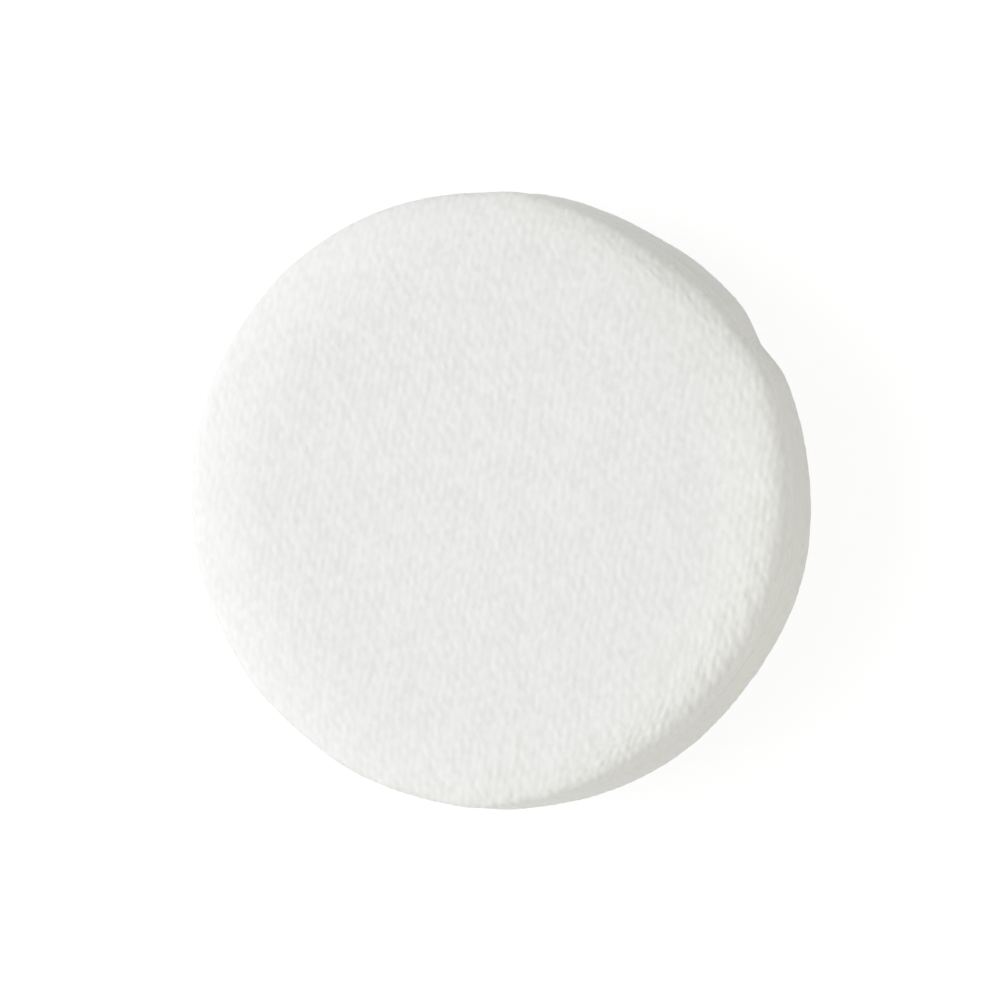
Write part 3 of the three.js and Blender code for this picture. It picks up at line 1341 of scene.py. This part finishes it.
@dataclass
class Studio:
    """White floor, plain soft lamps and the camera.

    The image's right is 30 degrees clockwise of the ribbon's right end, seen from above. The
    floor's size and the reach within which it is clear to light are in metres.
    """

    middle: Vector
    turn: float = -30.0
    tilt: float = 16.5
    tilt_towards: float = -15.0
    lens: float = 200.0
    sensor: float = 36.0
    image_width: float = 1000.0
    pixels_per_mm: float = 8.84
    aim: Span = (0.22, -0.2)
    lamps: tuple[Lamp, ...] = (
        Lamp("key", 180.0, 48.0, 9.3, (0.99, 1.0, 1.06)),
        Lamp("fill", 315.0, 22.0, 1.9, (1.0, 0.97, 0.74)),
    )
    room: float = 0.562
    room_tint: Colour = (1.0, 0.995, 0.95, 1.0)
    floor_size: float = 6.0
    floor_drop: float = 0.15
    floor_tones: tuple[Colour, Colour] = ((0.78, 0.78, 0.78, 1.0), (0.82, 0.82, 0.82, 1.0))
    floor_glow: float = 1.1
    glow_share: float = 0.8
    clear_reach: Span = (0.012, 0.008)

    def direction(self, bearing: float, elevation: float) -> Vector:
        """Returns the way from the puff to a place in the room.

        Args:
            bearing: degrees counter-clockwise from the image's right.
            elevation: degrees above the floor.

        Returns:
            A unit vector.
        """
        angle = math.radians(bearing + self.turn)
        height = math.radians(elevation)
        flat = math.cos(height)
        return Vector((flat * math.cos(angle), flat * math.sin(angle), math.sin(height)))

    def hang_camera(self) -> None:
        """Places the camera at the photograph's viewing angle."""
        frame_width = self.image_width / self.pixels_per_mm * MM
        distance = frame_width * self.lens / self.sensor
        towards = self.direction(self.tilt_towards, 90.0 - self.tilt)
        right = self.direction(90.0, 0.0).cross(towards).normalized()
        up = towards.cross(right)
        data = bpy.data.cameras.new("camera")
        configure(data, lens=self.lens, sensor_width=self.sensor, clip_start=0.01, clip_end=20.0)
        camera = bpy.data.objects.new("camera", data)
        bpy.context.scene.collection.objects.link(camera)
        turned = Matrix((right, up, towards)).transposed().to_4x4()
        aim = self.middle + (right * self.aim[0] + up * self.aim[1]) * MM
        camera.matrix_world = Matrix.Translation(aim + towards * distance) @ turned
        bpy.context.scene.camera = camera

    def hang(self, lamp: Lamp) -> None:
        """Hangs a lamp, with its bearing and elevation as `direction` takes them.

        Args:
            lamp: the lamp.
        """
        data = bpy.data.lights.new(lamp.name, "AREA")
        configure(data, shape="SQUARE", size=lamp.side, energy=lamp.power, color=lamp.colour)
        hung = bpy.data.objects.new(lamp.name, data)
        bpy.context.scene.collection.objects.link(hung)
        way = self.direction(lamp.bearing, lamp.elevation)
        hung.location = self.middle + way * lamp.distance
        hung.rotation_euler = way.to_track_quat("Z", "Y").to_euler()

    def light_room(self) -> None:
        """Sets the world: a plain pale room that the camera sees as white."""
        world = bpy.data.worlds.new("room")
        bpy.context.scene.world = world
        world.use_nodes = True
        room = Shading(world.node_tree)
        path = room.add("ShaderNodeLightPath").outputs
        rays = {0: Field(room, path["Is Camera Ray"]), 1: Field(room, path["Is Transmission Ray"])}
        seen = room.node("ShaderNodeMath", {"operation": "MAXIMUM"}, rays)
        strength = room.node("ShaderNodeMix", inputs={0: seen, 2: self.room, 3: 1.0})
        inputs = {"Color": self.room_tint, "Strength": strength}
        room.end("ShaderNodeOutputWorld", room.node("ShaderNodeBackground", inputs=inputs))

    def lay_floor(self) -> None:
        """Lays the white floor, which keeps the puff's shadow.

        It is clear from below, and clear to light that starts close to it, so that it darkens
        nothing on the puff's underside.
        """
        sizes = {"size": self.floor_size, "location": (0.0, 0.0, -self.floor_drop * MM)}
        floor = add_mesh(bpy.ops.mesh.primitive_plane_add, "floor", **sizes)
        recipe = Recipe("floor")
        path = recipe.add("ShaderNodeLightPath").outputs
        seen = Field(recipe, path["Is Camera Ray"])
        length = Field(recipe, path["Ray Length"])
        colour = recipe.blend(recipe.noise(recipe.place(), 3.0), *self.floor_tones)
        paper = recipe.node("ShaderNodeBsdfDiffuse", inputs={"Color": colour})
        glow = recipe.node("ShaderNodeEmission", inputs={"Strength": self.floor_glow})
        shares = {0: seen * self.glow_share, 1: paper, 2: glow}
        lit = recipe.node("ShaderNodeMixShader", inputs=shares)
        below = recipe.node("ShaderNodeNewGeometry", output="Backfacing")
        near = length.ramp(*self.clear_reach) * (1.0 - seen)
        under = below + near * (1.0 - below)
        clear = recipe.node("ShaderNodeBsdfTransparent")
        mixed = recipe.node("ShaderNodeMixShader", inputs={0: under, 1: lit, 2: clear})
        recipe.end("ShaderNodeOutputMaterial", mixed)
        floor.data.materials.append(recipe.material)

    def build(self) -> None:
        """Sets up the whole studio."""
        self.hang_camera()
        for lamp in self.lamps:
            self.hang(lamp)
        self.light_room()
        self.lay_floor()
        bpy.context.scene.view_settings.view_transform = "Standard"


# Assembly


def main() -> None:
    """Builds the puff piece by piece and sets the studio round it."""
    logging.basicConfig(level=logging.INFO, format="%(name)s: %(message)s")
    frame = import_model()
    LOG.info("frame with %d nodes", len(frame["nodes"]))
    shape = PuffShape()
    studio = Studio(Vector((0.0, 0.0, shape.seam_height * MM)))
    studio.build()
    velour = Velour().material()
    thread = SewingThread().material()
    covers = [
        Cover("velour_front", "front_cover", Side.FRONT, shape, Pile(seed=11)),
        Cover("velour_back", "back_cover", Side.BACK, shape, Pile(seed=23, lock_depth=0.02)),
    ]
    pieces = [cover.make(velour) for cover in covers]
    pieces.append(FoamCore(shape).make(Foam().material()))
    ribbon = FingerRibbon(shape)
    pieces.append(ribbon.make(Satin().material(ribbon.width)))
    for node in ("seam_thread", "closing_thread", "ribbon_tack_right", "ribbon_tack_left"):
        coat(bpy.data.objects[node], thread)
    for piece in pieces:
        LOG.info("%s: %d faces", piece.name, len(piece.data.polygons))


if __name__ == "__main__":
    main()
